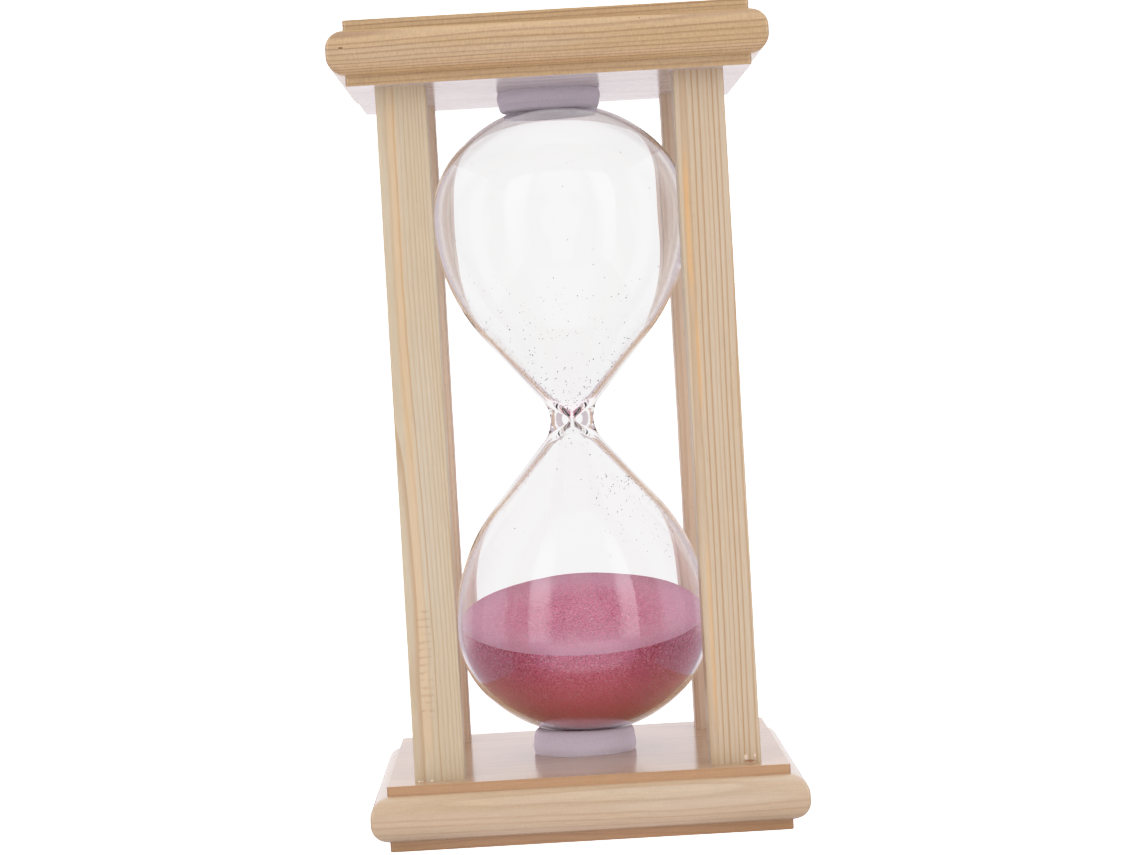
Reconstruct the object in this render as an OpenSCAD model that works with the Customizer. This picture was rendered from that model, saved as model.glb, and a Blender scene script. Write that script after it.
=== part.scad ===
// Sand timer in a square wooden frame: two moulded plates, four square posts on dowels,
// and a one-piece blown glass held between two foam rings. Millimetres.
// Origin at the middle of the underside, +Z up, +X to the right, -Y to the front.

/* [Frame] */
// Width and depth of each square plate, over the rounded edge
plate_w = 100; // [90:1:120]
// Thickness of each plate
plate_t = 15; // [13:0.5:20]
// Distance between the two plates, which is the length of a post
post_len = 159; // [159:0.5:170]
// Width of a square post
post_w = 11.6; // [10:0.2:14]
// Distance between the centres of neighbouring posts
post_pitch = 68; // [67:0.5:70]
// Width of the small bevel along each post's long edges
post_bevel = 0.5; // [0.2:0.1:1]

/* [Plate edge] */
// How far the rounded edge stands out from the narrow steps above and below it
bead_out = 4; // [2:0.5:5]
// Height of each narrow step
step_h = 2.3; // [1.5:0.1:3]
// Radius of the rounded edge
bead_r = 4.4; // [3:0.1:5]

/* [Dowels] */
// Diameter of a dowel
dowel_d = 6; // [4:0.5:8]
// Length of a dowel
dowel_len = 18; // [14:1:20]
// How far a dowel goes into its plate
dowel_in_plate = 8; // [6:0.5:9]
// Room for glue round a dowel, and at each end of it
glue_gap = 0.05; // [0.03:0.01:0.1]

/* [Glass] */
// Height of the narrowest point of the glass
neck_z = 95; // [94.5:0.1:96]
// Largest radius of each bulb
bulb_r = 30.6; // [29:0.1:31.5]
// Height from the neck to the widest point of a bulb
bulb_h = 49.4; // [48:0.1:50]
// Thickness of the glass wall
wall_t = 1.1; // [0.8:0.1:1.8]
// Outer radius of the neck
neck_r = 5.3; // [4.5:0.1:6]
// Radius of the hole that the sand runs through
throat_r = 0.6; // [0.4:0.1:1]
// How far the glass sits to the right of the frame's middle
glass_x = 1.3; // [0:0.1:1.5]

/* [Foam rings] */
// Height of the lower ring at its outer edge
lower_ring_h = 6.2; // [5.5:0.1:7]
// Height of the upper ring at its outer edge
upper_ring_h = 4.9; // [4.5:0.1:6]
// Outer radius of a ring, where it is glued to its plate
ring_r = 12.1; // [11.5:0.1:14]
// Radius of the hole in a ring, which takes the end of the glass
ring_hole_r = 7.5; // [6:0.1:8]

/* [Sand] */
// Height of the sand on the glass's axis
sand_h = 48.4; // [40:0.1:52]
// Slope of the sand's surface, which is low at the front
sand_slope = 14.7; // [0:0.1:20]

/* [Hidden] */

pine = [0.87, 0.74, 0.55];
pine_light = [0.90, 0.80, 0.63];
beech = [0.80, 0.66, 0.48];
foam_white = [0.82, 0.78, 0.82];
clear_glass = [0.93, 0.95, 0.96, 0.35];
sand_pink = [0.78, 0.44, 0.58];

front = -1;
rear = 1;
left = -1;
right = 1;
overrun = 1;                                  // how far a cutter passes a face
total_h = 2 * plate_t + post_len;
top_inner_z = total_h - plate_t;              // underside of the top plate
step_w = plate_w - 2 * bead_out;
bead_h = plate_t - 2 * step_h;
dowel_bevel = 0.8;
dowel_flutes = 12;
flute_r = 0.45;
full_circle = 96;

// Directions in a bulb's outline are angles from the radius at the widest point.
flank_r = 45.6;                               // long arc between the widest point and the cone
shoulder_r = 23.4;                            // arc between the widest point and the end
shoulder_angle = 44;
cone_angle = 40.5;                            // slope of the cone, from the axis
neck_arc_r = 7.8;                             // hollow arc round the outside of the neck
throat_arc_r = 1.5;                           // and the one inside it
end_r = (bulb_r - shoulder_r) / cos(shoulder_angle) + shoulder_r;   // rounded end, centred on the axis
end_centre_h = bulb_h + (shoulder_r - end_r) * sin(shoulder_angle);
glass_end_h = end_centre_h + end_r;           // from the neck to each end of the glass
nib_len = 2.6;                                // sealed tip at the lower end
nib_r = 1.8;
skin = 0.05;                                  // room between the glass and what touches it
arc_step = 3;                                 // degrees between the points of an arc

function polar(radius, angle) = radius * [cos(angle), sin(angle)];
// Points along an arc from one angle to another, both included
function arc(centre, radius, from, to) =
  let (count = ceil(abs(to - from) / arc_step))
  [for (i = [0 : count]) centre + polar(radius, from + (to - from) * i / count)];

// One bulb's half outline, as [radius, height over the neck], from the neck to the end.
// inset moves the wall inwards; narrow and narrow_arc are the neck's radius and hollow arc.
function bulb_outline(inset, narrow, narrow_arc) =
  concat(
    arc([narrow + narrow_arc, 0], narrow_arc, 180, 180 - cone_angle),
    arc([bulb_r - flank_r, bulb_h], flank_r - inset, -cone_angle, 0),
    arc([bulb_r - shoulder_r, bulb_h], shoulder_r - inset, 0, shoulder_angle),
    arc([0, end_centre_h], end_r - inset, shoulder_angle, 90)
  );
function upside_down(points) = [for (p = points) [p.x, -p.y]];
outer_half = bulb_outline(0, neck_r, neck_arc_r);
inner_half = bulb_outline(wall_t, throat_r, throat_arc_r);

// A square section with its four corners cut off
module bevelled_square(width, bevel) {
  half = width / 2;
  corner = half - bevel;
  polygon([
    [-corner, -half], [corner, -half], [half, -corner], [half, corner],
    [corner, half], [-corner, half], [-half, corner], [-half, -corner]
  ]);
}

// A plate's section: a rounded edge between two narrow steps
module plate_section() {
  translate([-step_w / 2, 0]) square([step_w, plate_t]);
  translate([-plate_w / 2 + bead_r, step_h]) square([plate_w - 2 * bead_r, bead_h]);
  translate([-plate_w / 2, step_h + bead_r]) square([plate_w, bead_h - 2 * bead_r]);
  for (side = [left, right], height = [step_h + bead_r, plate_t - step_h - bead_r])
    translate([side * (plate_w / 2 - bead_r), height]) circle(r = bead_r, $fn = full_circle);
}

module plate_bar() {
  rotate([90, 0, 0]) linear_extrude(height = plate_w, center = true) plate_section();
}

// The same edge runs round all four sides and meets at a mitre in each corner
module plate_blank() {
  intersection() {
    plate_bar();
    rotate([0, 0, 90]) plate_bar();
  }
}

module at_corner(side_x, side_y, height) {
  translate([side_x * post_pitch / 2, side_y * post_pitch / 2, height]) children();
}

// A drilled hole, from the height low to the height high, at one post's centre
module dowel_hole(side_x, side_y, low, high) {
  at_corner(side_x, side_y, low)
    cylinder(r = dowel_d / 2 + glue_gap, h = high - low, $fn = full_circle);
}

module base_plate() {
  color(pine) difference() {
    plate_blank();
    for (side_x = [left, right], side_y = [front, rear])
      dowel_hole(side_x, side_y, plate_t - dowel_in_plate - 10 * glue_gap, plate_t + overrun);
  }
}

module top_plate() {
  color(pine) difference() {
    translate([0, 0, top_inner_z]) plate_blank();
    for (side_x = [left, right], side_y = [front, rear])
      dowel_hole(side_x, side_y, top_inner_z - overrun, top_inner_z + dowel_in_plate + 10 * glue_gap);
  }
}

module post(side_x, side_y) {
  depth = dowel_len - dowel_in_plate + 10 * glue_gap;
  color(pine_light) difference() {
    at_corner(side_x, side_y, plate_t)
      linear_extrude(height = post_len) bevelled_square(post_w, post_bevel);
    dowel_hole(side_x, side_y, plate_t - overrun, plate_t + depth);
    dowel_hole(side_x, side_y, top_inner_z - depth, top_inner_z + overrun);
  }
}

// A fluted dowel with bevelled ends, standing on the height low
module dowel(side_x, side_y, low) {
  radius = dowel_d / 2;
  color(beech) at_corner(side_x, side_y, low) difference() {
    union() {
      cylinder(r1 = radius - dowel_bevel, r2 = radius, h = dowel_bevel, $fn = full_circle);
      translate([0, 0, dowel_bevel])
        cylinder(r = radius, h = dowel_len - 2 * dowel_bevel, $fn = full_circle);
      translate([0, 0, dowel_len - dowel_bevel])
        cylinder(r1 = radius, r2 = radius - dowel_bevel, h = dowel_bevel, $fn = full_circle);
    }
    for (i = [0 : dowel_flutes - 1])
      rotate([0, 0, i * 360 / dowel_flutes]) translate([radius + flute_r / 2, 0, -overrun])
        cylinder(r = flute_r, h = dowel_len + 2 * overrun, $fn = 24);
  }
}

module base_dowel(side_x, side_y) {
  dowel(side_x, side_y, plate_t - dowel_in_plate);
}

module top_dowel(side_x, side_y) {
  dowel(side_x, side_y, top_inner_z + dowel_in_plate - dowel_len);
}

// A foam ring standing on z = 0, squeezed to a barrel by the glass and rounded at its free edge
module ring_blank(height, rim_r) {
  bulge = 0.3;
  hollow = [ring_hole_r, 0];
  side = [for (i = [0 : 8]) [ring_r + bulge * sin(i * 22.5), height * 0.6 * i / 8]];
  edge_h = height * 0.4;
  edge = [for (a = [10 : 10 : 90])
    [rim_r + (ring_r - rim_r) * cos(a), height * 0.6 + edge_h * sin(a)]];
  rotate_extrude($fn = full_circle)
    polygon(concat([hollow], side, edge, [[ring_hole_r, height]]));
}

// The ball that the glass's rounded end is part of, with room for it
module glass_end(direction) {
  translate([glass_x, 0, neck_z + direction * end_centre_h]) sphere(r = end_r + skin, $fn = full_circle);
}

module lower_foam_ring() {
  color(foam_white) difference() {
    translate([0, 0, plate_t]) ring_blank(lower_ring_h, 10.8);
    glass_end(-1);
  }
}

module upper_foam_ring() {
  color(foam_white) difference() {
    translate([0, 0, top_inner_z]) mirror([0, 0, 1]) ring_blank(upper_ring_h, 11.3);
    glass_end(1);
  }
}

module bulb_solid(half) {
  translate([glass_x, 0, neck_z]) rotate_extrude($fn = full_circle)
    polygon(concat([[0, 0]], half));
}

// Both bulbs are blown in one piece; the tip at the lower end is where it was sealed
module glass_bulb() {
  color(clear_glass) difference() {
    union() {
      bulb_solid(outer_half);
      mirror([0, 0, 1]) translate([0, 0, -2 * neck_z]) bulb_solid(outer_half);
      translate([glass_x, 0, neck_z - glass_end_h - nib_len])
        cylinder(r1 = nib_r * 0.6, r2 = nib_r, h = nib_len + wall_t / 2, $fn = full_circle);
    }
    bulb_solid(inner_half);
    mirror([0, 0, 1]) translate([0, 0, -2 * neck_z]) bulb_solid(inner_half);
  }
}

// Sand lying in the lower bulb, under a flat slope left by tilting the timer
module sand() {
  grain_half = bulb_outline(wall_t + skin, throat_r, throat_arc_r);
  color(sand_pink) difference() {
    mirror([0, 0, 1]) translate([0, 0, -2 * neck_z]) bulb_solid(grain_half);
    translate([0, 0, sand_h]) rotate([sand_slope, 0, 0])
      translate([-plate_w, -plate_w, 0]) cube([2 * plate_w, 2 * plate_w, 2 * plate_w]);
  }
}

base_plate();
top_plate();
post(left, front);  // post_front_left
post(right, front);  // post_front_right
post(left, rear);  // post_rear_left
post(right, rear);  // post_rear_right
base_dowel(left, front);  // dowel_base_front_left
base_dowel(right, front);  // dowel_base_front_right
base_dowel(left, rear);  // dowel_base_rear_left
base_dowel(right, rear);  // dowel_base_rear_right
top_dowel(left, front);  // dowel_top_front_left
top_dowel(right, front);  // dowel_top_front_right
top_dowel(left, rear);  // dowel_top_rear_left
top_dowel(right, rear);  // dowel_top_rear_right
lower_foam_ring();
upper_foam_ring();
glass_bulb();
sand();
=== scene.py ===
import math
import random

import bpy
from mathutils import Matrix, Vector, noise


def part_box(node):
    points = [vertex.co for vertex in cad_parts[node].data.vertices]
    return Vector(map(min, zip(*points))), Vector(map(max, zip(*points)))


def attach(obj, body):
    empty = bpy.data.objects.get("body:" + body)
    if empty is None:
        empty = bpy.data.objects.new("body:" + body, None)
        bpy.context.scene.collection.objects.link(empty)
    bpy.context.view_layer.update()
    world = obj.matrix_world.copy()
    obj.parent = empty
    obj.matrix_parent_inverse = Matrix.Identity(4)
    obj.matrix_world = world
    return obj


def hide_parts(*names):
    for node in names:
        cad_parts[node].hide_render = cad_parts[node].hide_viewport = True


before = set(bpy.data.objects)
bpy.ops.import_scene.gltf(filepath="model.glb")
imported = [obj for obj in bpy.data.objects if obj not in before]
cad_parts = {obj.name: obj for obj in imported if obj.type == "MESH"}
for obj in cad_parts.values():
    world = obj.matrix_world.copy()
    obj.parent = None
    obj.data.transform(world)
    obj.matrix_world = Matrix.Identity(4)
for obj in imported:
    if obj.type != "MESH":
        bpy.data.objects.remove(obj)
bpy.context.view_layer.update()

MM = 0.001

# ---------------------------------------------------------------- sizes, in metres
base_low, base_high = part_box("base_plate")
top_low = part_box("top_plate")[0]
glass_low, glass_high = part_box("glass_bulb")
PLATE_HALF = base_high.x
PLATE_T = base_high.z - base_low.z
BULB_R = (glass_high.x - glass_low.x) / 2
GLASS_X = (glass_high.x + glass_low.x) / 2     # the glass sits a little to the right in its frame

STEP_H = 2.3 * MM                 # the narrow steps above and below a plate's rounded edge
BEAD_OUT = 4 * MM
BEAD_R = 4.4 * MM
STEP_HALF = PLATE_HALF - BEAD_OUT
STEP_EDGE_R = 0.25 * MM
PLATE_CORNER_R = 0.8 * MM
POST_CORNER_R = 0.5 * MM

BULB_H = 49.4 * MM                # from the neck to a bulb's widest point
WALL_T = 1.1 * MM
NECK_R = 5.3 * MM
NECK_ARC_R = 7.8 * MM
THROAT_R = 0.6 * MM
THROAT_ARC_R = 1.5 * MM
FLANK_R = 45.6 * MM
SHOULDER_R = 23.4 * MM
SHOULDER_ANGLE = 44
CONE_ANGLE = 40.5
END_R = (BULB_R - SHOULDER_R) / math.cos(math.radians(SHOULDER_ANGLE)) + SHOULDER_R
END_CENTRE_H = BULB_H + (SHOULDER_R - END_R) * math.sin(math.radians(SHOULDER_ANGLE))
GLASS_END_H = END_CENTRE_H + END_R
NECK_Z = glass_high.z - GLASS_END_H
NIB_LEN = NECK_Z - GLASS_END_H - glass_low.z
NIB_R = 1.1 * MM

SAND_H = 48.4 * MM                # the sand's height on the axis
SAND_SLOPE = 14.7                 # degrees, low at the front
SAND_GAP = 0.1 * MM               # between the sand and the glass
SAND_GRAINS_PER_MM = 4.2

RING_R = 12.1 * MM                # a foam ring, without its bulge
RING_BULGE = 0.3 * MM
RING_HOLE_R = 7.5 * MM
LOWER_RIM_R = 10.8 * MM
UPPER_RIM_R = 11.3 * MM

# How fine the meshes are: steps along a side and round a corner, levels, and points round a circle
PLATE_STEPS = (48, 4)
POST_STEPS = (14, 4)
POST_LEVELS = 120
GLASS_AROUND = 240
SAND_AROUND, SAND_ACROSS, SAND_DOWN = 192, 70, 60
FOAM_AROUND = 128

# Grains on the glass: in the upper bulb or not, how many, heights from the neck, and angles from +x
DUST = (
    (True, 420, 2.5 * MM, 34 * MM, 0, 360),
    (True, 120, 20 * MM, 66 * MM, 0, 360),
    (False, 110, 2.5 * MM, 26 * MM, 0, 360),
    (False, 200, 14 * MM, 34 * MM, -75, 5),
)
DUST_R = (0.07 * MM, 0.18 * MM)

# Glue drops in front of the left post's foot: place across and radius, in mm
GLUE = ((-38.8, 0.3), (-38.1, 0.22), (-35.9, 0.34))
GLUE_Y = -39.85


# ---------------------------------------------------------------- colours
def linear(red, green, blue):
    """A linear colour from sRGB numbers, 0 to 255."""
    def one(value):
        value /= 255
        return value / 12.92 if value <= 0.04045 else ((value + 0.055) / 1.055) ** 2.4
    return (one(red), one(green), one(blue), 1.0)


# Pine as its pale early wood and its browner late wood
POST_WOOD = {"early": linear(194, 178, 148), "late": linear(173, 135, 93)}
RIGHT_POST_WOOD = {"early": linear(195, 176, 147), "late": linear(173, 135, 93)}
# Painted light: the rear posts get a paler copy of the pine, standing in for light on their shaded faces
REAR_POST_WOOD_PAINTED_LIGHTER = {"early": linear(222, 198, 171), "late": linear(200, 162, 127)}
BASE_WOOD = {"early": linear(190, 166, 134), "late": linear(166, 132, 94)}
TOP_WOOD = {"early": linear(185, 154, 110), "late": linear(136, 98, 58)}
DOWEL_WOOD = {"early": linear(205, 172, 130), "late": linear(180, 140, 98)}

SEED_STEPS = (31.0, 17.0, 53.0)   # how far apart in the noise two pieces of wood are, in mm

RESIN_DUCT = linear(142, 98, 62)
RESIN_STREAK = linear(226, 172, 100)
END_GRAIN = linear(190, 144, 112)
# Painted shade for the steps beside a board's rounded edge
STEP_PAINTED_SHADE = linear(232, 196, 150)
# Painted reflection for a board's underside
UNDERSIDE_PAINTED_REFLECTION = linear(204, 196, 200)
CUTTER_MARK = linear(176, 138, 104)
CHIP = linear(160, 118, 86)
FLAKE = linear(226, 208, 184)
DARK_SPECK = linear(70, 40, 25)
BROWN_SPECK = linear(90, 50, 30)
BROWN_LINE = linear(110, 66, 36)

SAND_DARK, SAND_PALE = linear(184, 58, 92), linear(252, 138, 182)
SAND_GLINT = linear(255, 206, 222)
SAND_SHADE = linear(176, 66, 94)
# Painted light: a warmer red for the sand low in the bulb
SAND_LOW_PAINTED_WARMTH = linear(255, 122, 132)
# Painted light: a paler pink for the open face near the glass
SAND_RIM_PAINTED_LIGHT = linear(255, 184, 212)
DUST_DARK, DUST_PALE = linear(70, 52, 60), linear(150, 128, 138)
# Painted light: lit and shaded copies of one foam, the lower ring's paler than the upper's, standing in for
# the light on each ring
LOWER_FOAM_PAINTED_LIGHTER = linear(216, 205, 217), linear(228, 219, 231)
UPPER_FOAM_PAINTED_DARKER = linear(206, 198, 207), linear(218, 210, 221)
# Painted shade for the foam's pits
FOAM_PIT_SHADE = linear(176, 158, 168)
GLUE_PALE, GLUE_DARK = linear(236, 226, 206), linear(214, 192, 158)

# The room and its floor, in linear light
FLOOR_COLOUR = (0.84, 0.81, 0.82, 1)
FLOOR_GLIMPSE_FRONT = (1.30, 1.15, 1.22, 1)
FLOOR_GLIMPSE_SIDE = (0.55, 0.50, 0.56, 1)
WALL_BACK = (0.60, 0.53, 0.59, 1)
WALL_SIDE = (0.98, 0.90, 1.02, 1)
WALL_FRONT = (0.41, 0.395, 0.41, 1)
CEILING = (0.95, 0.93, 0.96, 1)
BACKDROP = (1.05, 0.99, 1.02, 1)
SOFTBOX_LIGHT = (4.2, 4.2, 4.3, 1)
SOFTBOXES = ((-41, 3, 14), (45, 4, 15))        # azimuth, and where each starts and stops fading, in degrees
LAVENDER = (0.62, 0.545, 0.575, 1)
PANEL = (1.08, 1.08, 1.08, 1)
FRONT_LIGHT = (0.80, 0.79, 0.80, 1)
SIDE_LIGHT = (1.30, 1.26, 1.32, 1)
TOP_LIGHT = (1.5, 1.5, 1.62, 1)
OPEN_SKY = (2, 2, 2, 1)
WHITE_LEVEL = 2.0                 # light this strong shows as white
# Pairs of a light level and how bright it shows, 1 being white
HIGHLIGHT_CURVE = ((0.4, 0.4), (0.8, 0.8), (1.0, 0.915), (1.25, 0.965), (1.6, 0.992))
LIGHT_BOUNCES = 48

CAMERA_PLACE = Vector((-7.3, -782.9, 114.1)) * MM
CAMERA_AIM = Vector((0.7, 0, 93.0)) * MM
CAMERA_ROLL = 3.254               # degrees
SENSOR_WIDTH = 36
LENS = 102.7


# ---------------------------------------------------------------- mesh tools
def polar(radius, degrees):
    return Vector((radius * math.cos(math.radians(degrees)), radius * math.sin(math.radians(degrees))))


def arc(centre, radius, start, end, step=2.0):
    """Points along an arc, both ends included. Angles are in degrees."""
    count = max(1, math.ceil(abs(end - start) / step))
    middle = Vector(centre)
    return [middle + polar(radius, start + (end - start) * i / count) for i in range(count + 1)]


def turned(outline, around):
    """Rings of a surface of revolution about Z, from (radius, height) points that go upwards."""
    rings = []
    for radius, height in outline:
        if radius < 1e-7:
            rings.append([Vector((0, 0, height))])
            continue
        rings.append([
            Vector((*polar(radius, 360 * i / around), height)) for i in range(around)
        ])
    return rings


def square_ring(half, corner, height, side_steps, corner_steps, centre=(0, 0)):
    """Points round a square with rounded corners, anticlockwise seen from above."""
    flat = half - corner
    quarter = [Vector((flat, flat)) + polar(corner, 90 * i / corner_steps) for i in range(corner_steps + 1)]
    quarter += [Vector((flat - 2 * flat * i / side_steps, half)) for i in range(1, side_steps)]
    points = []
    for turn in range(4):
        spin = Matrix.Rotation(math.radians(90 * turn), 2)
        points += [Vector((*(spin @ p + Vector(centre)), height)) for p in quarter]
    return points


def skin(rings, inside_out=False):
    """Vertices and faces of a closed skin over rings that go upwards. A ring of one point is a pole."""
    points = [p for ring in rings for p in ring]
    starts = [0]
    for ring in rings:
        starts.append(starts[-1] + len(ring))
    faces = []
    for k in range(len(rings) - 1):
        low, high = rings[k], rings[k + 1]
        count = max(len(low), len(high))
        for i in range(count):
            j = (i + 1) % count
            below = [starts[k] + i, starts[k] + j] if len(low) > 1 else [starts[k]]
            above = [starts[k + 1] + j, starts[k + 1] + i] if len(high) > 1 else [starts[k + 1]]
            faces.append(below + above)
    if len(rings[0]) > 1:
        faces.append(list(reversed(range(len(rings[0])))))
    if len(rings[-1]) > 1:
        faces.append(list(range(starts[-2], starts[-1])))
    if inside_out:
        faces = [list(reversed(face)) for face in faces]
    return points, faces


def piece(name, skins, material, node=None, sharp=35):
    """One object made of closed skins. It stands for the CAD node, if one is named."""
    points, faces = [], []
    for more_points, more_faces in skins:
        shift = len(points)
        points += more_points
        faces += [[i + shift for i in face] for face in more_faces]
    mesh = bpy.data.meshes.new(name)
    mesh.from_pydata([tuple(p) for p in points], [], faces)
    mesh.polygons.foreach_set("use_smooth", [True] * len(mesh.polygons))
    mesh.set_sharp_from_angle(angle=math.radians(sharp))
    mesh.materials.append(material)
    obj = bpy.data.objects.new(name, mesh)
    bpy.context.scene.collection.objects.link(obj)
    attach(obj, "root")
    if node:
        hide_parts(node)
    return obj


def move_x(rings, amount):
    for ring in rings:
        for p in ring:
            p.x += amount
    return rings


def wander(point, size, amount, seed):
    """A smooth random number from -amount to amount, which changes over a distance of about size."""
    return amount * noise.noise(point / size + Vector((seed, seed * 1.7, seed * 0.3)))


def uneven_sides(ring, size, amount, seed, seed_step):
    """Moves a ring's points a little in x and y, so that planed faces aren't perfectly flat."""
    for p in ring:
        p.x += wander(p, size, amount, seed)
        p.y += wander(p, size, amount, seed + seed_step)


# ---------------------------------------------------------------- material tools
class Tree:
    """A material's node tree with short calls to add nodes. Values that are sockets are linked."""

    def __init__(self, name, world=False):
        self.owner = (bpy.data.worlds if world else bpy.data.materials).new(name)
        self.owner.use_nodes = True
        self.tree = self.owner.node_tree
        self.tree.nodes.clear()

    def add(self, kind, values=(), **settings):
        made = self.tree.nodes.new(kind)
        for key, value in settings.items():
            setattr(made, key, value)
        for key, value in dict(values).items():
            self.put(made, key, value)
        return made

    def put(self, node, key, value):
        if isinstance(value, bpy.types.NodeSocket):
            self.tree.links.new(value, node.inputs[key])
        else:
            node.inputs[key].default_value = value

    def math(self, operation, a, b=0.0, c=0.0):
        return self.add("ShaderNodeMath", {0: a, 1: b, 2: c}, operation=operation).outputs[0]

    def times(self, first, *others):
        for other in others:
            first = self.math("MULTIPLY", first, other)
        return first

    def vector(self, operation, a, b=(0, 0, 0)):
        made = self.add("ShaderNodeVectorMath", {0: a, 1: b}, operation=operation)
        return made.outputs["Value" if operation in ("LENGTH", "DOT_PRODUCT") else 0]

    def scaled(self, vector, amount):
        return self.add("ShaderNodeVectorMath", {0: vector, "Scale": amount}, operation="SCALE").outputs[0]

    def joined(self, x, y, z=0.0):
        return self.add("ShaderNodeCombineXYZ", {0: x, 1: y, 2: z}).outputs[0]

    def split(self, vector):
        return self.add("ShaderNodeSeparateXYZ", {0: vector}).outputs

    def place_in_mm(self):
        return self.scaled(self.add("ShaderNodeTexCoord").outputs["Object"], 1 / MM)

    def normal(self):
        return self.add("ShaderNodeNewGeometry").outputs["Normal"]

    def ramp(self, value, low, high, smooth=True):
        """0 below low and 1 above high, or the other way round where low is over high."""
        kind = "SMOOTHSTEP" if smooth else "LINEAR"
        made = self.add("ShaderNodeMapRange", {"Value": value, "From Min": low, "From Max": high},
                        interpolation_type=kind, clamp=True)
        return made.outputs[0]

    def mix(self, factor, a, b, blend="MIX"):
        made = self.add("ShaderNodeMix", data_type="RGBA", blend_type=blend)
        for key, value in ((0, factor), (6, a), (7, b)):
            self.put(made, key, value)
        return made.outputs[2]

    def mix_shaders(self, factor, a, b):
        return self.add("ShaderNodeMixShader", {0: factor, 1: a.outputs[0], 2: b.outputs[0]})

    def noise(self, vector, scale=1.0, detail=2.0, roughness=0.5, dimensions="3D"):
        key = "W" if dimensions == "1D" else "Vector"
        return self.add("ShaderNodeTexNoise",
                        {key: vector, "Scale": scale, "Detail": detail, "Roughness": roughness},
                        noise_dimensions=dimensions)

    def bump(self, height, strength, depth):
        values = {"Height": height, "Strength": strength, "Distance": depth}
        return self.add("ShaderNodeBump", values).outputs[0]

    def finish(self, shader):
        self.add("ShaderNodeOutputMaterial", {"Surface": shader.outputs[0]})
        return self.owner


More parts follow.
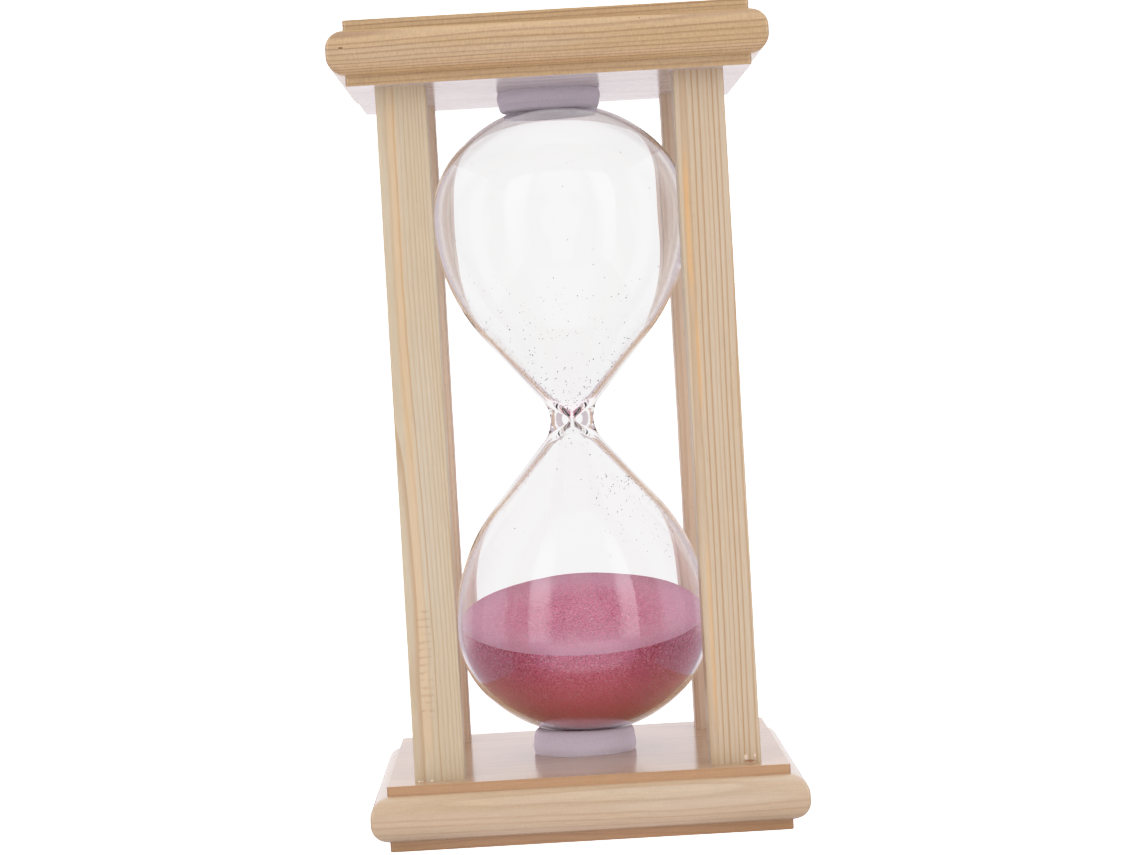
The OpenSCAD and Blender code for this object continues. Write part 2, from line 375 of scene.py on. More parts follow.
# ---------------------------------------------------------------- pine
class Wood(Tree):
    """Planed pine, with its grain along x or z. Places are in mm, and each layer of looks is one method."""

    def __init__(self, name, along, seed):
        super().__init__(name)
        self.seed = seed
        self.place = self.place_in_mm()
        self.axes = self.split(self.place)
        self.facing = self.split(self.normal())
        x, y, z = self.axes
        self.across, self.up, self.length = (y, z, x) if along == "x" else (x, y, z)
        self.end_facing = self.facing[0 if along == "x" else 2]
        grain = self.joined(self.across, self.up, self.length)
        self.grain = self.vector("ADD", grain, tuple(seed * step for step in SEED_STEPS))

    def fibres(self, across, along, detail=2.0, roughness=0.5):
        """Noise with one fineness across the grain and another along it."""
        stretched = self.vector("MULTIPLY", self.grain, (across, across, along))
        return self.noise(stretched, detail=detail, roughness=roughness)

    def band(self, value, low, high, fade):
        """1 between low and high, fading to 0 at both."""
        return self.times(self.ramp(value, low, low + fade), self.ramp(value, high, high - fade))

    def bends(self, amount):
        """How far the grain strays in mm: slow bends, and wobbles a tenth as large."""
        middle = (0.5, 0.5, 0.5)
        slow = self.vector("SUBTRACT", self.fibres(0.04, 0.009, detail=1.0).outputs["Color"], middle)
        quick = self.vector("SUBTRACT", self.fibres(0.3, 0.03).outputs["Color"], middle)
        return self.split(self.vector("ADD", self.scaled(slow, amount), self.scaled(quick, amount * 0.1)))

    def rings(self, strays, pith, ring, lean, contrast):
        """The late wood, 0 to 1, in years of uneven width round a pith at a place across the grain."""
        a = self.math("ADD", self.math("MULTIPLY_ADD", self.length, lean[0], self.across), strays[0])
        b = self.math("ADD", self.math("MULTIPLY_ADD", self.length, lean[1], self.up), strays[1])
        from_pith = self.joined(self.math("SUBTRACT", a, pith[0]), self.math("SUBTRACT", b, pith[1]))
        radius = self.vector("LENGTH", from_pith)
        pace = self.math("MULTIPLY_ADD", radius, 0.22, self.seed * 7.0)
        pace = self.math("SUBTRACT", self.noise(pace, detail=1.0, dimensions="1D").outputs[0], 0.5)
        count = self.math("DIVIDE", self.math("MULTIPLY_ADD", pace, 2.0 * ring, radius), ring)
        part = self.math("FRACT", count)
        whole = self.math("FLOOR", count)
        year = self.add("ShaderNodeTexWhiteNoise", {"W": whole}, noise_dimensions="1D").outputs["Value"]
        late = self.times(self.math("POWER", self.ramp(part, 0.42, 0.86), 1.5), self.ramp(part, 1.0, 0.9))
        return self.times(late, self.math("MULTIPLY_ADD", year, 0.6, 0.4), contrast)

    def plain(self, early, late, dark, fibre):
        """The rings' colours over broad warm and pale zones, with fine fibres and short resin ducts."""
        zones = self.fibres(0.14, 0.012).outputs[0]
        warm = (early[0], early[1] * 0.9, early[2] * 0.75, 1)
        pale = tuple(0.85 * part + 0.11 for part in early[:3]) + (1,)
        colour = self.mix(self.times(self.ramp(zones, 0.5, 0.72), 0.4), early, warm)
        colour = self.mix(self.times(self.ramp(zones, 0.48, 0.3), 0.5), colour, pale)
        colour = self.mix(dark, colour, late)
        grey = self.add("ShaderNodeCombineColor", {0: fibre, 1: fibre, 2: fibre}).outputs[0]
        colour = self.mix(0.2, colour, grey, "OVERLAY")
        cells = self.vector("MULTIPLY", self.grain, (1.6, 1.6, 0.2))
        near = self.add("ShaderNodeTexVoronoi", {"Vector": cells, "Scale": 1.0}).outputs["Distance"]
        duct = self.times(self.ramp(near, 0.14, 0.04), self.ramp(zones, 0.4, 0.6))
        return self.mix(self.times(duct, 0.4), colour, RESIN_DUCT)

    def resin(self, colour, strays, middle, width, low, high, amount):
        """A long orange streak of resin: place across, half width, lowest and highest point, and amount."""
        sway = self.math("MULTIPLY_ADD", strays[0], 0.8, self.axes[0])
        off = self.math("ABSOLUTE", self.math("SUBTRACT", sway, middle))
        ends = self.band(self.axes[2], low, high, 12.0)
        return self.mix(self.times(self.ramp(off, width, width * 0.2), ends, amount), colour, RESIN_STREAK)

    def mark(self, colour, ragged, x, z, wide, tall, shade):
        """A small mark on the front: place across, height, half width, half height and colour."""
        off_x = self.math("DIVIDE", self.math("SUBTRACT", self.axes[0], x), wide)
        off_z = self.math("DIVIDE", self.math("SUBTRACT", self.axes[2], z), tall)
        off = self.math("ADD", self.vector("LENGTH", self.joined(off_x, off_z)), ragged)
        spot = self.times(self.ramp(off, 1.1, 0.6), self.ramp(self.facing[1], -0.4, -0.7))
        return self.mix(spot, colour, shade)

    def end_grain(self, colour):
        """End grain drinks the lacquer and looks darker and browner."""
        facing = self.math("ABSOLUTE", self.end_facing)
        pores = self.noise(self.place, scale=3.0).outputs[0]
        amount = self.times(self.ramp(facing, 0.55, 0.95), self.math("MULTIPLY_ADD", pores, 0.5, 0.35))
        return self.mix(amount, colour, END_GRAIN, "MULTIPLY")

    def step_painted_shade(self, colour, underside, step_shade):
        """Painted shade: a board turns darker and more orange on the narrow steps beside the rounded edge,
        standing in for the shade there, and half as much on its top and bottom faces.
        """
        middle = self.math("ABSOLUTE", self.math("SUBTRACT", self.axes[2], underside + PLATE_T / MM / 2))
        limit = (PLATE_T / 2 - STEP_H) / MM
        upright = self.ramp(self.math("ABSOLUTE", self.facing[2]), 0.9, 0.6)
        steps = self.times(self.ramp(middle, limit - 0.05, limit + 0.1),
                           self.math("MULTIPLY_ADD", upright, 0.5, 0.5))
        return self.mix(self.times(steps, step_shade), colour, STEP_PAINTED_SHADE, "MULTIPLY")

    def underside_painted_reflection(self, colour, underside, underside_reflection):
        """Painted reflection: a pale lavender grey on the underside of a board, standing in for the bright
        surroundings it reflects at a grazing angle.
        """
        under = self.times(self.ramp(self.facing[2], -0.9, -0.98),
                           self.ramp(self.axes[2], underside + 0.3, underside + 0.1))
        return self.mix(self.times(under, underside_reflection), colour, UNDERSIDE_PAINTED_REFLECTION)

    def torn(self, colour, fleck):
        """Short fibres torn a little across the grain."""
        tone = self.fibres(0.9, 2.4, roughness=0.6).outputs[0]
        tone = self.math("MULTIPLY_ADD", tone, fleck, 1.0 - fleck / 2)
        return self.vector("MULTIPLY", colour, self.joined(tone, tone, tone))

    def cutter_marks(self, left, right, low, high):
        """Marks across the grain on the front, in a strip with these edges in mm. The answer is 0 to 1."""
        inside = self.times(self.band(self.axes[0], left, right, 0.5),
                            self.band(self.axes[2], low, high, 1.5),
                            self.ramp(self.facing[1], -0.7, -0.95))
        spot = self.noise(self.vector("MULTIPLY", self.place, (0.5, 0.5, 0.45))).outputs[0]
        bands = self.math("SINE", self.times(self.math("MULTIPLY_ADD", spot, 1.2, self.axes[2]), 3.6))
        return self.times(inside, self.times(self.ramp(bands, 0.1, 0.95), self.ramp(spot, 0.36, 0.6)))

    def lacquer(self, coat, uneven, dull):
        """How thick the clear coat is. It runs along the grain, and an open upper face may be rubbed matt."""
        runs = self.fibres(0.35, 0.02, detail=3.0, roughness=0.7).outputs[0]
        film = self.math("MULTIPLY_ADD", self.ramp(runs, 0.35, 0.55), uneven, 1.0 - uneven)
        film = self.times(film, coat)
        if dull:
            rubbed = self.math("MULTIPLY_ADD", self.ramp(self.facing[2], 0.7, 0.97), -dull, 1.0)
            film = self.times(film, rubbed)
        return film


def pine(name, early, late, along="z", pith=(60, 10), ring=1.0, lean=(0.0, 0.0), seed=0.0, contrast=0.8,
         bend=4.0, coat=0.3, coat_rough=0.3, gloss=0.3, uneven=0.25, fleck=0.0, underside_reflection=0.0, dull=0.0,
         underside=None, step_shade=0.0, marks=(), streaks=(), chatter=None):
    """Planed pine under clear lacquer. A board gives the height of its underside, in mm."""
    t = Wood(name, along, seed)
    strays = t.bends(bend)
    dark = t.rings(strays, pith, ring, lean, contrast)
    fibre = t.fibres(5.0, 0.15, detail=3.0, roughness=0.65).outputs[0]
    relief = t.math("ADD", t.times(dark, 0.6), t.times(fibre, 0.6))

    colour = t.plain(early, late, dark, fibre)
    for streak in streaks:
        colour = t.resin(colour, strays, *streak)
    if marks:
        ragged = t.math("MULTIPLY_ADD", t.noise(t.place, scale=1.5).outputs[0], 1.2, -0.6)
        for mark in marks:
            colour = t.mark(colour, ragged, *mark)
    colour = t.end_grain(colour)
    if underside is not None:
        colour = t.step_painted_shade(colour, underside, step_shade)
    if underside_reflection:
        colour = t.underside_painted_reflection(colour, underside, underside_reflection)
    if fleck:
        colour = t.torn(colour, fleck)
    if chatter is not None:
        cuts = t.cutter_marks(*chatter)
        colour = t.mix(t.times(cuts, 0.4), colour, CUTTER_MARK)
        relief = t.math("MULTIPLY_ADD", cuts, -1.5, relief)

    bump = t.bump(relief, 0.3, 0.03 * MM)
    shader = t.add("ShaderNodeBsdfPrincipled", {
        "Base Color": colour, "Roughness": t.math("MULTIPLY_ADD", fibre, 0.2, 0.42), "Normal": bump,
        "Specular IOR Level": gloss, "Coat Weight": t.lacquer(coat, uneven, dull),
        "Coat Roughness": coat_rough, "Coat IOR": 1.5, "Coat Normal": bump,
    })
    return t.finish(shader)


# ---------------------------------------------------------------- the other materials
def clear_glass():
    t = Tree("clear_glass")
    shader = t.add("ShaderNodeBsdfPrincipled", {
        "Base Color": (0.995, 0.995, 0.995, 1), "Roughness": 0.0, "IOR": 1.48, "Transmission Weight": 1.0,
    })
    return t.finish(shader)


def dyed_sand():
    """Grains a quarter of a millimetre apart, of different colour and tilt, with painted light: redder low in
    the bulb and paler towards the glass on the open face.
    """
    t = Tree("pink_sand")
    place = t.place_in_mm()
    grains = t.add("ShaderNodeTexVoronoi", {"Vector": place, "Scale": SAND_GRAINS_PER_MM})
    chance = t.add("ShaderNodeSeparateColor", {0: grains.outputs["Color"]}).outputs
    colour = t.mix(chance[0], SAND_DARK, SAND_PALE)
    colour = t.mix(t.ramp(chance[1], 0.93, 0.98), colour, SAND_GLINT)
    colour = t.mix(t.ramp(chance[2], 0.92, 0.97), colour, SAND_SHADE)
    edge = t.ramp(grains.outputs["Distance"], 0.35, 0.8)
    colour = t.mix(t.times(edge, 0.2), colour, SAND_SHADE)
    height = t.split(place)[2]
    # Painted light: the sand turns redder low in the bulb, standing in for the warm light from the wood below
    colour = t.mix(t.times(t.ramp(height, 44.0, 24.0), 0.8), colour, SAND_LOW_PAINTED_WARMTH)

    # Painted light: the open face gets paler towards the glass, standing in for a band of light along the rim
    from_axis = t.vector("SUBTRACT", place, (GLASS_X / MM, 0, 0))
    out = t.vector("LENGTH", t.vector("MULTIPLY", from_axis, (1, 1, 0)))
    normal = t.normal()
    open_face = t.ramp(t.split(normal)[2], 0.5, 0.9)
    colour = t.mix(t.times(t.ramp(out, 8.0, 27.0), open_face, 0.52), colour, SAND_RIM_PAINTED_LIGHT)

    turn = t.scaled(t.vector("SUBTRACT", grains.outputs["Color"], (0.5, 0.5, 0.5)), 0.2)
    facet = t.vector("NORMALIZE", t.vector("ADD", normal, turn))
    shader = t.add("ShaderNodeBsdfPrincipled", {
        "Base Color": colour, "Roughness": t.ramp(chance[1], 1.2, 0.5), "Normal": facet,
        "Sheen Weight": 0.15, "Sheen Roughness": 0.5,
    })
    return t.finish(shader)


def dust_material():
    t = Tree("sand_dust")
    tone = t.noise(t.place_in_mm(), detail=1.0, scale=2.0).outputs[0]
    colour = t.mix(t.ramp(tone, 0.35, 0.65), DUST_DARK, DUST_PALE)
    return t.finish(t.add("ShaderNodeBsdfPrincipled", {"Base Color": colour, "Roughness": 0.7}))


def glue_material():
    t = Tree("dried_glue")
    cloud = t.noise(t.place_in_mm(), scale=3.0).outputs[0]
    colour = t.mix(cloud, GLUE_PALE, GLUE_DARK)
    return t.finish(t.add("ShaderNodeBsdfPrincipled", {"Base Color": colour, "Roughness": 0.25}))


def white_foam(name, dark, pale):
    """Foam with fine cells and small open pits darkened with painted shade, a little translucent."""
    t = Tree(name)
    place = t.place_in_mm()
    cells = t.noise(place, scale=4.0, detail=3.0, roughness=0.6).outputs[0]
    tint = t.mix(t.ramp(cells, 0.35, 0.7), dark, pale)
    holes = t.add("ShaderNodeTexVoronoi", {"Vector": place, "Scale": 2.2}).outputs["Distance"]
    pits = t.ramp(holes, 0.22, 0.1)
    # Painted shade: the pits are darkened
    tint = t.mix(t.times(pits, 0.5), tint, FOAM_PIT_SHADE)
    relief = t.math("MULTIPLY_ADD", pits, -0.8, cells)
    shader = t.add("ShaderNodeBsdfPrincipled", {
        "Base Color": tint, "Roughness": 0.75, "Normal": t.bump(relief, 0.5, 0.08 * MM),
        "Subsurface Weight": 0.25, "Subsurface Radius": (1.0, 0.9, 0.9), "Subsurface Scale": 1.5 * MM,
    })
    return t.finish(shader)


# ---------------------------------------------------------------- plates and posts
def plate_profile():
    """A plate's edge as (half width, height over its underside), from the bottom face to the top face."""
    bead_x = PLATE_HALF - BEAD_R
    reach = math.degrees(math.acos((STEP_HALF - bead_x) / BEAD_R))
    lower = arc((STEP_HALF - STEP_EDGE_R, STEP_EDGE_R), STEP_EDGE_R, -90, 0, 30)
    lower += arc((bead_x, STEP_H + BEAD_R), BEAD_R, -reach, 0, 6)
    upper = [Vector((p.x, PLATE_T - p.y)) for p in reversed(lower)]
    return lower + upper


def planed(name, rings, material, node):
    made = piece(name, [skin(rings)], material, node)
    made.modifiers.new("flat_faces", "WEIGHTED_NORMAL").keep_sharp = True
    return made


def plate(name, low, material):
    rings = []
    for half, height in plate_profile():
        ring = square_ring(half, PLATE_CORNER_R, low + height, *PLATE_STEPS)
        uneven_sides(ring, 14 * MM, 0.06 * MM, low, 5)
        rings.append(ring)
    return planed(name + "_board", rings, material, name)


def post(name, material, seed):
    low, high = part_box(name)
    half = (high.x - low.x) / 2
    centre = ((low.x + high.x) / 2, (low.y + high.y) / 2)
    rings = []
    for k in range(POST_LEVELS + 1):
        height = low.z + (high.z - low.z) * k / POST_LEVELS
        ring = square_ring(half, POST_CORNER_R, height, *POST_STEPS, centre)
        uneven_sides(ring, 9 * MM, 0.05 * MM, seed, 3)
        rings.append(ring)
    return planed(name + "_stick", rings, material, name)


# ---------------------------------------------------------------- glass and sand
def bulb_outline(inset, narrow, narrow_arc):
    """Half of the glass's outline, as (radius, height over the neck), from the neck to the end."""
    return (
        arc((narrow + narrow_arc, 0), narrow_arc, 180, 180 - CONE_ANGLE, 2.5)
        + arc((BULB_R - FLANK_R, BULB_H), FLANK_R - inset, -CONE_ANGLE, 0)
        + arc((BULB_R - SHOULDER_R, BULB_H), SHOULDER_R - inset, 0, SHOULDER_ANGLE)[1:]
        + arc((0, END_CENTRE_H), END_R - inset, SHOULDER_ANGLE, 90)[1:-1]
        + [Vector((0, END_CENTRE_H + END_R - inset))]
    )


def both_ways(half):
    """The whole outline, from the lower end to the upper one, at its real height."""
    lower = [Vector((p.x, NECK_Z - p.y)) for p in reversed(half)]
    upper = [Vector((p.x, NECK_Z + p.y)) for p in half[1:]]
    return lower + upper


def nib_outline():
    """The small sealed tip under the lower bulb, from its end up to where it meets the bulb."""
    tip = NECK_Z - GLASS_END_H - NIB_LEN
    nib = [Vector((0, tip))] + arc((0, tip + NIB_R), NIB_R, -75, 0, 15)
    return nib + [Vector((1.35 * MM, tip + 1.9 * MM)), Vector((1.9 * MM, tip + 2.5 * MM))]


def glass_piece():
    outside = both_ways(bulb_outline(0, NECK_R, NECK_ARC_R))
    inside = both_ways(bulb_outline(WALL_T, THROAT_R, THROAT_ARC_R))
    nib_meets = 2.6 * MM
    outside = nib_outline() + [p for p in outside if p.y > NECK_Z or p.x > nib_meets]
    skins = []
    for outline, flip, seed in ((outside, False, 2.0), (inside, True, 9.0)):
        rings = turned(outline, GLASS_AROUND)
        for ring in rings:
            for p in ring:
                if p.xy.length > 0:
                    outward = p.xy.normalized() * wander(p, 16 * MM, 0.07 * MM, seed)
                    p.x += outward.x
                    p.y += outward.y
        skins.append(skin(move_x(rings, GLASS_X), flip))
    return piece("blown_glass", skins, clear_glass(), "glass_bulb", sharp=80)


def sand_wall():
    """The sand's side as (radius, height) points, downwards from the neck."""
    half = bulb_outline(WALL_T + SAND_GAP, THROAT_R, THROAT_ARC_R)
    return [Vector((p.x, NECK_Z - p.y)) for p in half]


def wall_radius(wall, height):
    for above, below in zip(wall, wall[1:]):
        if below.y <= height <= above.y:
            share = (height - below.y) / max(above.y - below.y, 1e-9)
            return below.x + (above.x - below.x) * share
    return 0.0


def sand_rim(wall, slope):
    """Where the sloping face meets the glass, as (angle, radius, height)."""
    rim = []
    for i in range(SAND_AROUND):
        angle = 2 * math.pi * i / SAND_AROUND
        radius = BULB_R * 0.9
        for _ in range(40):
            height = SAND_H + slope * radius * math.sin(angle)
            radius = (radius + wall_radius(wall, height)) / 2
        rim.append((angle, radius, height))
    return rim


def sand_piece(material):
    """Sand under a sloping face with small ripples, which calm down towards the glass."""
    wall = sand_wall()
    bottom = wall[-1].y
    slope = math.tan(math.radians(SAND_SLOPE))
    rim = sand_rim(wall, slope)

    rings = [[Vector((0, 0, bottom))]]
    for k in range(1, SAND_DOWN + 1):
        lift = 1 - math.cos(math.pi / 2 * k / SAND_DOWN)
        ring = []
        for angle, radius, height in rim:
            z = bottom + (height - bottom) * lift
            r = wall_radius(wall, z) if k < SAND_DOWN else radius
            ring.append(Vector((r * math.cos(angle), r * math.sin(angle), z)))
        rings.append(ring)
    for k in range(1, SAND_ACROSS):
        share = 1 - k / SAND_ACROSS
        calm = min(1.0, 6 * (1 - share))
        ring = []
        for angle, radius, height in rim:
            x, y = share * radius * math.cos(angle), share * radius * math.sin(angle)
            p = Vector((x, y, SAND_H + slope * y))
            p.z += calm * (wander(p, 9 * MM, 0.18 * MM, 4.0) + wander(p, 1.2 * MM, 0.06 * MM, 8.0))
            ring.append(p)
        rings.append(ring)
    rings.append([Vector((0, 0, SAND_H))])
    return piece("sand_bed", [skin(move_x(rings, GLASS_X))], material, "sand", sharp=60)


def crumb(centre, radius, chance):
    """One irregular grain with six corners."""
    points = []
    for way in ((1, 0, 0), (0, 1, 0), (-1, 0, 0), (0, -1, 0), (0, 0, 1), (0, 0, -1)):
        points.append(centre + Vector(way) * radius * chance.uniform(0.6, 1.3))
    faces = [(0, 1, 4), (1, 2, 4), (2, 3, 4), (3, 0, 4), (1, 0, 5), (2, 1, 5), (3, 2, 5), (0, 3, 5)]
    return points, faces


def dust_piece():
    """Fine grains that cling to the inside of the glass, most of them near the neck."""
    chance = random.Random(7)
    inside = bulb_outline(WALL_T, THROAT_R, THROAT_ARC_R)
    clearance = 0.07 * MM
    skins = []
    for upwards, count, low, high, start, end in DUST:
        for _ in range(count):
            height = low + (high - low) * chance.random() ** 1.6
            below, above = next((a, b) for a, b in zip(inside, inside[1:]) if b.y >= height)
            wall = below.x + (above.x - below.x) * (height - below.y) / max(above.y - below.y, 1e-9)
            radius = chance.uniform(*DUST_R)
            spot = polar(wall - 1.5 * radius - clearance, chance.uniform(start, end))
            z = NECK_Z + height if upwards else NECK_Z - height
            skins.append(crumb(Vector((spot.x + GLASS_X, spot.y, z)), radius, chance))
    return piece("sand_dust", skins, dust_material(), None, sharp=10)


# ---------------------------------------------------------------- glue and foam
def glue_piece(material):
    """Three drops of glue that were pressed out in front of the left post's foot."""
    flatness = 0.7
    skins = []
    for x, radius in GLUE:
        dome = [polar(radius * MM, a) for a in range(0, 90, 15)]
        dome = [Vector((p.x, base_high.z + flatness * p.y)) for p in dome]
        rings = turned(dome + [Vector((0, base_high.z + flatness * radius * MM))], 16)
        for ring in rings:
            for p in ring:
                p += Vector((x, GLUE_Y, 0)) * MM
        skins.append(skin(rings))
    return piece("glue_drops", skins, material, None, sharp=60)


def foam_outline(height, rim_r):
    """A foam ring's section as (radius, height over the board), from the hole round to the hole again."""
    shoulder = height * 0.6
    side = [
        Vector((RING_R + RING_BULGE * math.sin(math.radians(15 * i)), shoulder * i / 12)) for i in range(13)
    ]
    edge = [Vector((rim_r + (RING_R - rim_r) * math.cos(math.radians(a)),
                    shoulder + height * 0.37 * math.sin(math.radians(a)))) for a in range(6, 91, 6)]
    inner = [Vector((rim_r - (rim_r - RING_HOLE_R) * i / 12, height)) for i in range(1, 13)]
    return [Vector((RING_HOLE_R, 0.0))] + side + edge + inner


def foam_ring(name, material, rim_r, upwards):
    """A foam ring glued to a plate, bulging at the side, with a dished face where the glass rests."""
    low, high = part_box(name)
    foot = low.z if upwards else high.z
    way = 1 if upwards else -1
    around = FOAM_AROUND
    rings = [
        [Vector((*polar(p.x, 360 * i / around), foot + way * p.y)) for i in range(around)]
        for p in foam_outline(high.z - low.z, rim_r)
    ]
    points = [p for ring in rings for p in ring]
    glass_z = NECK_Z - way * END_CENTRE_H
    for p in points:
        p += Vector((*p.xy.normalized(), 0)) * wander(p, 5 * MM, 0.06 * MM, foot)
        # The glass presses its round end into the foam
        off = Vector((p.x - GLASS_X, p.y)).length
        contact = glass_z - way * math.sqrt((END_R + 0.04 * MM) ** 2 - off * off)
        p.z = min(p.z, contact) if upwards else max(p.z, contact)
    faces = []
    for k in range(len(rings)):
        nxt = (k + 1) % len(rings)
        for i in range(around):
            j = (i + 1) % around
            face = [k * around + i, k * around + j, nxt * around + j, nxt * around + i]
            faces.append(face if upwards else list(reversed(face)))
    made = piece(name + "_pad", [(points, faces)], material, name, sharp=50)
    return made


# ---------------------------------------------------------------- floor, light and camera
def stage_floor():
    """A white floor. Reflections see only its middle, and through the glass a ring of it is lavender grey."""
    t = Tree("floor_white")
    rays = t.add("ShaderNodeLightPath").outputs
    place = t.vector("MULTIPLY", t.add("ShaderNodeNewGeometry").outputs["Position"], (1, 1, 0))
    away = t.vector("LENGTH", place)
    far = t.math("MAXIMUM", away, 0.001)
    sides = t.split(t.vector("ABSOLUTE", place))

    lit = t.add("ShaderNodeBsdfPrincipled", {
        "Base Color": FLOOR_COLOUR, "Roughness": 1.0, "Specular IOR Level": 0.0,
        "Emission Color": (1, 1, 1, 1), "Emission Strength": t.times(rays["Is Camera Ray"], 1.3),
    })

    # Through the glass: white straight ahead and to each side, and lavender grey between
    aside = t.math("DIVIDE", t.math("MINIMUM", sides[0], sides[1]), far)
    grey = t.times(t.ramp(away, 0.13, 0.16), t.ramp(away, 0.5, 0.4), t.ramp(aside, 0.12, 0.2))
    plain = t.add("ShaderNodeEmission", {"Color": t.mix(grey, PANEL, LAVENDER)})
    through = t.times(rays["Is Transmission Ray"], t.math("LESS_THAN", rays["Diffuse Depth"], 0.5))

    # In reflections: brighter in front and behind than at the sides, and nothing farther away
    ahead = t.ramp(t.math("DIVIDE", sides[0], far), 0.7, 0.35)
    glimpse = t.add("ShaderNodeEmission", {"Color": t.mix(ahead, FLOOR_GLIMPSE_SIDE, FLOOR_GLIMPSE_FRONT)})
    mirrored = t.mix_shaders(t.ramp(away, 0.15, 0.3), glimpse, t.add("ShaderNodeBsdfTransparent"))

    shader = t.mix_shaders(rays["Is Glossy Ray"], t.mix_shaders(through, lit, plain), mirrored)
    mesh = bpy.data.meshes.new("floor")
    size, low = 6.0, base_low.z - 0.02 * MM
    corners = [(-size, -size, low), (size, -size, low), (size, size, low), (-size, size, low)]
    mesh.from_pydata(corners, [], [(0, 1, 2, 3)])
    mesh.materials.append(t.finish(shader))
    floor = bpy.data.objects.new("floor", mesh)
    bpy.context.scene.collection.objects.link(floor)


def white_room():
    """Soft light from all round, strongest overhead, with softboxes and white panels to see in the glass."""
    t = Tree("white_room", world=True)
    toward = t.add("ShaderNodeTexCoord").outputs["Generated"]
    axes = t.split(toward)
    up = axes[2]
    sideways, depth = t.math("ABSOLUTE", axes[0]), t.math("ABSOLUTE", axes[1])
    level = t.vector("NORMALIZE", t.vector("MULTIPLY", toward, (1, 1, 0)))

    def within(azimuth, inner, outer):
        """1 in a sector round an azimuth and 0 outside it. 0 is in front of the object, 90 to the right."""
        angle = math.radians(azimuth)
        close = t.vector("DOT_PRODUCT", level, (math.sin(angle), -math.cos(angle), 0))
        return t.ramp(close, math.cos(math.radians(outer)), math.cos(math.radians(inner)))

    # What reflections show: grey walls, a white backdrop and two tall softboxes in front, to left and right
    studio = t.mix(within(0, 66, 80), WALL_BACK, WALL_FRONT)
    for azimuth in (-96, 96):
        studio = t.mix(t.times(within(azimuth, 14, 30), t.ramp(up, -0.25, 0.3)), studio, WALL_SIDE)
    studio = t.mix(t.ramp(up, 0.4, 0.85), studio, CEILING)
    studio = t.mix(within(180, 14, 20), studio, BACKDROP)
    heights = t.times(t.ramp(up, -0.5, 0.35, False), t.ramp(up, 0.86, 0.66))
    for azimuth, inner, outer in SOFTBOXES:
        studio = t.mix(t.times(within(azimuth, inner, outer), heights), studio, SOFTBOX_LIGHT)

    # What lights the object
    soft = t.mix(t.ramp(sideways, 0.4, 0.9), FRONT_LIGHT, SIDE_LIGHT)
    soft = t.mix(t.ramp(up, -0.1, 0.9), soft, TOP_LIGHT)

    # What shows through the glass: a white panel in front, behind and at each side, with a lavender grey rim
    straight = t.math("MAXIMUM", sideways, depth)
    panels = t.math("MAXIMUM", t.ramp(straight, 0.94, 0.954), t.ramp(straight, 0.84, 0.79))
    panels = t.math("MAXIMUM", panels, t.ramp(t.math("MINIMUM", sideways, depth), 0.2, 0.12))
    behind = t.mix(panels, LAVENDER, PANEL)

    rays = t.add("ShaderNodeLightPath").outputs
    seen = t.mix(rays["Is Transmission Ray"], studio, behind)
    seen = t.mix(t.math("MINIMUM", rays["Diffuse Depth"], 1.0), seen, soft)
    seen = t.mix(rays["Is Camera Ray"], seen, OPEN_SKY)
    light = t.add("ShaderNodeBackground", {"Color": seen})
    t.add("ShaderNodeOutputWorld", {"Surface": light.outputs[0]})
    bpy.context.scene.world = t.owner


def photo_camera():
    """A long lens a little left of the front, tipped down slightly and rolled, so the object leans left."""
    data = bpy.data.cameras.new("camera")
    data.sensor_width = SENSOR_WIDTH
    data.lens = LENS
    data.clip_start = 0.05
    obj = bpy.data.objects.new("camera", data)
    bpy.context.scene.collection.objects.link(obj)
    place = CAMERA_PLACE
    forward = (CAMERA_AIM - place).normalized()
    level = forward.cross(Vector((0, 0, 1))).normalized()
    upward = level.cross(forward)
    roll = math.radians(CAMERA_ROLL)
    right = math.cos(roll) * level - math.sin(roll) * upward
    up = math.sin(roll) * level + math.cos(roll) * upward
    obj.matrix_world = Matrix((
        (right.x, up.x, -forward.x, place.x),
        (right.y, up.y, -forward.y, place.y),
        (right.z, up.z, -forward.z, place.z),
        (0, 0, 0, 1),
    ))
    bpy.context.scene.camera = obj


def soften_highlights(view):
    """Light up to 0.8 shows as it is, and from there to the white level it rolls off gently."""
    view.use_curve_mapping = True
    mapping = view.curve_mapping
    mapping.white_level = (WHITE_LEVEL, WHITE_LEVEL, WHITE_LEVEL)
    curve = mapping.curves[3]
    for light, shown in HIGHLIGHT_CURVE:
        curve.points.new(light / WHITE_LEVEL, shown)
    for point in curve.points[:3]:
        point.handle_type = "VECTOR"
    mapping.update()


# ---------------------------------------------------------------- build the object
board = {"along": "x", "coat": 1.0, "coat_rough": 0.15, "gloss": 0.45}
# The base board gets painted shade on its steps
plate("base_plate", base_low.z, pine(
    "pine_base", **BASE_WOOD, pith=(30, -46), ring=1.0, seed=1.0, contrast=0.5, underside=0.0, step_shade=0.82,
    uneven=0.08, fleck=0.14, **board))
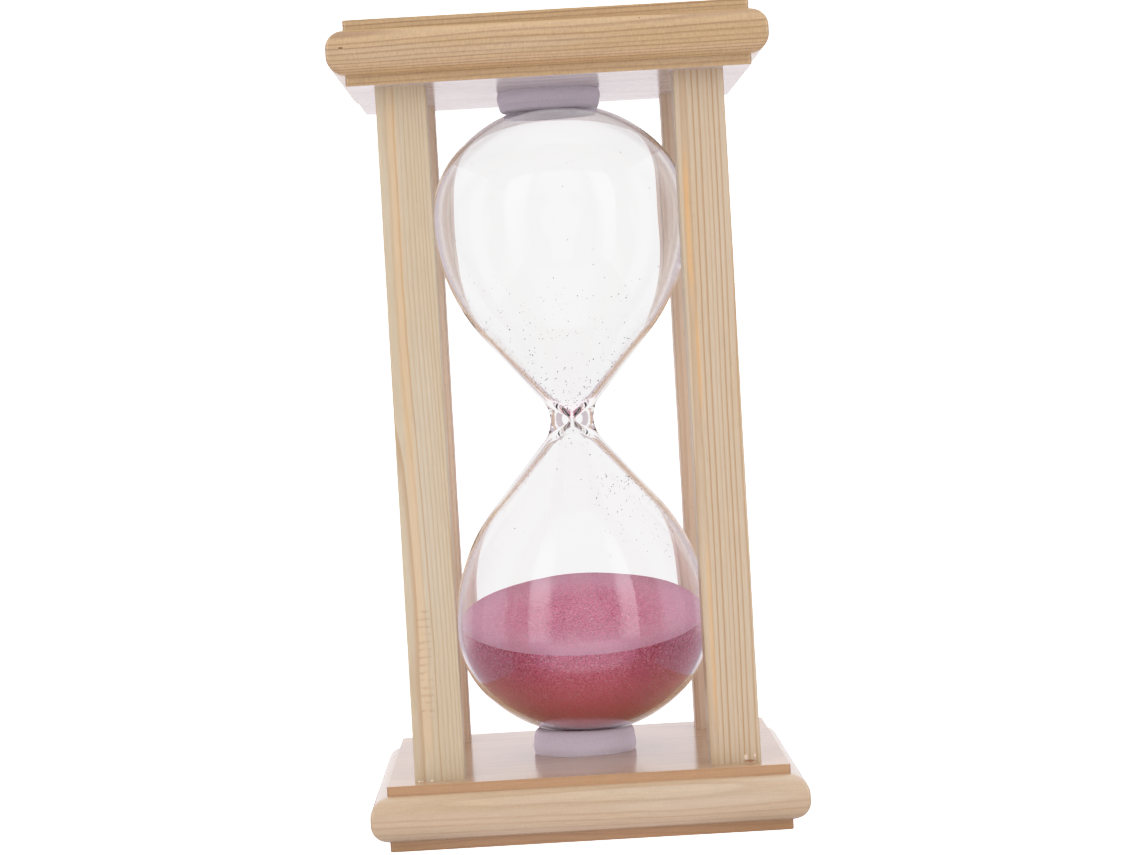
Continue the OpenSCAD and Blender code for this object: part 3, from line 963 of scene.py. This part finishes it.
# The top board gets a painted reflection on its underside
plate("top_plate", top_low.z, pine(
    "pine_top", **TOP_WOOD, pith=(-20, 150), ring=0.9, seed=2.0, contrast=0.75, underside=top_low.z / MM,
    fleck=0.45, underside_reflection=0.7, dull=0.85,
    marks=((-9.0, 176.4, 0.25, 0.22, DARK_SPECK), (-46.5, 182.4, 0.6, 0.2, BROWN_LINE),
           (21.0, 185.6, 0.22, 0.2, BROWN_SPECK)),
    **board))
post("post_front_left", pine(
    "pine_front_left", **POST_WOOD, pith=(-39.5, -29), ring=0.62, seed=3.0, lean=(0.012, 0.0), bend=2.0,
    contrast=0.65, chatter=(-37.6, -34.0, 29, 56), streaks=((-36.4, 1.6, 15, 178, 0.22),)), 1.0)
post("post_front_right", pine(
    "pine_front_right", **RIGHT_POST_WOOD, pith=(29.4, -37.4), ring=1.1, seed=4.0, lean=(-0.004, 0.0),
    bend=1.4, contrast=0.9,
    marks=((37.2, 15.4, 1.5, 0.3, CHIP), (36.3, 16.3, 0.45, 0.7, FLAKE), (38.4, 16.6, 0.3, 0.6, FLAKE)),
    streaks=((29.8, 0.9, 118, 160, 0.45), (30.6, 0.7, 92, 124, 0.4), (30.2, 0.8, 20, 70, 0.3))), 2.0)
# The rear posts use the paler copy of the pine, which is painted light
rear = {**REAR_POST_WOOD_PAINTED_LIGHTER, "ring": 1.5, "contrast": 0.6, "bend": 2.5}
post("post_rear_left", pine("pine_rear_left", pith=(-60, 60), seed=5.0, **rear), 3.0)
post("post_rear_right", pine("pine_rear_right", pith=(5, 70), seed=6.0, **rear), 4.0)
glass_piece()
sand_piece(dyed_sand())
dust_piece()
glue_piece(glue_material())
foam_ring("lower_foam_ring", white_foam("white_foam_low", *LOWER_FOAM_PAINTED_LIGHTER), LOWER_RIM_R, True)
foam_ring("upper_foam_ring", white_foam("white_foam_high", *UPPER_FOAM_PAINTED_DARKER), UPPER_RIM_R, False)
dowel_wood = pine("dowel_wood", **DOWEL_WOOD, ring=0.8)
for name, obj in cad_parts.items():
    if name.startswith("dowel"):
        obj.data.materials.clear()
        obj.data.materials.append(dowel_wood)

stage_floor()
white_room()
photo_camera()
scene = bpy.context.scene
scene.view_settings.view_transform = "Standard"
soften_highlights(scene.view_settings)
scene.cycles.use_denoising = True
scene.cycles.max_bounces = LIGHT_BOUNCES
scene.cycles.transmission_bounces = LIGHT_BOUNCES
scene.cycles.glossy_bounces = LIGHT_BOUNCES
